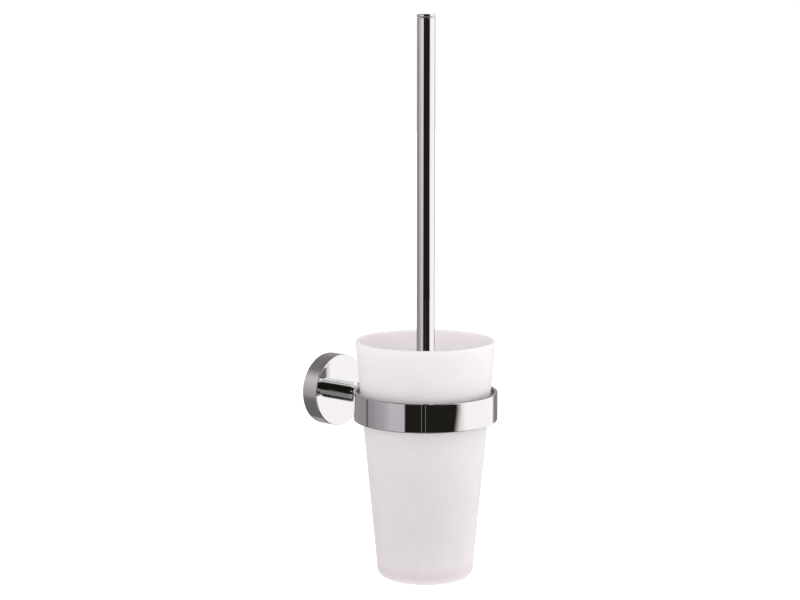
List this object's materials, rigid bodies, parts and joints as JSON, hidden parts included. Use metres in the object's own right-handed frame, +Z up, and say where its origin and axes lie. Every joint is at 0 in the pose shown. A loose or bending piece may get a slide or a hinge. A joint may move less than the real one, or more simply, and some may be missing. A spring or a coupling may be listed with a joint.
{
  "type": "toilet brush holder",
  "caption": "Wall-mounted toilet brush holder: a chromed ring on a short arm carries a tapered frosted glass tumbler with a long-handled brush.",
  "frame": {"origin": "on the wall, at the centre of the flange's back, on the axis of the arm", "axes": "+Z up; the holder stands out from the wall towards -Y, so +Y goes into the wall; +X to the right for someone facing the wall"},
  "size_m": [0.0966, 0.1499, 0.374],
  "materials": {
    "chrome_plate": "polished chrome plate",
    "frosted_glass": "acid-etched, near-opaque white",
    "clear_plastic": "milky moulded plastic",
    "cast_zinc": "raw die-cast zinc",
    "stainless_steel": "plain machined",
    "brass": "turned",
    "white_plastic": "moulded, fine satin",
    "bristle_nylon": "extruded filament",
    "silicone": "moulded, matt"
  },
  "bodies": {
    "holder": {"wall_screw_upper": "stainless_steel", "wall_screw_lower": "stainless_steel", "wall_bracket": "cast_zinc", "flange_cover": "chrome_plate", "flange_set_screw": "stainless_steel", "arm_screw": "stainless_steel", "arm_spring_washer": "stainless_steel", "arm": "chrome_plate", "ring_collar": "chrome_plate", "ring_screw": "stainless_steel", "ring_band": "chrome_plate", "ring_liner": "clear_plastic"},
    "tumbler": {"glass_tumbler": "frosted_glass"},
    "brush_head": {"bristle_tip": "bristle_nylon", "bristle_row_1": "bristle_nylon", "bristle_row_2": "bristle_nylon", "bristle_row_3": "bristle_nylon", "bristle_row_4": "bristle_nylon", "bristle_row_5": "bristle_nylon", "bristle_row_6": "bristle_nylon", "bristle_row_7": "bristle_nylon", "bristle_row_8": "bristle_nylon", "brush_core": "white_plastic", "brush_stud": "stainless_steel"},
    "seal": {"seal_washer": "silicone"},
    "handle": {"handle_bush": "brass", "handle_tube": "chrome_plate", "handle_cap_plug": "white_plastic", "handle_end_cap": "chrome_plate"}
  },
  "joints": [
    {"name": "tumbler_lift", "type": "slide", "parent": "holder", "child": "tumbler", "axis": [0, 0, 1], "range_m": [0, 0.14]},
    {"name": "brush_lift", "type": "slide", "parent": "tumbler", "child": "brush_head", "axis": [0, 0, 1], "range_m": [0, 0.16]},
    {"name": "handle_rise", "type": "slide", "parent": "brush_head", "child": "seal", "axis": [0, 0, 1], "range_m": [0, 0.01]},
    {"name": "handle_turn", "type": "hinge", "parent": "seal", "child": "handle", "pos_m": [0, -0.0905, 0.05], "axis": [0, 0, 1], "range_deg": [0, 3600]}
  ],
  "couplings": [
    {"joint": "handle_rise", "follows": "handle_turn", "m_per_rad": 0.00015915}
  ]
}
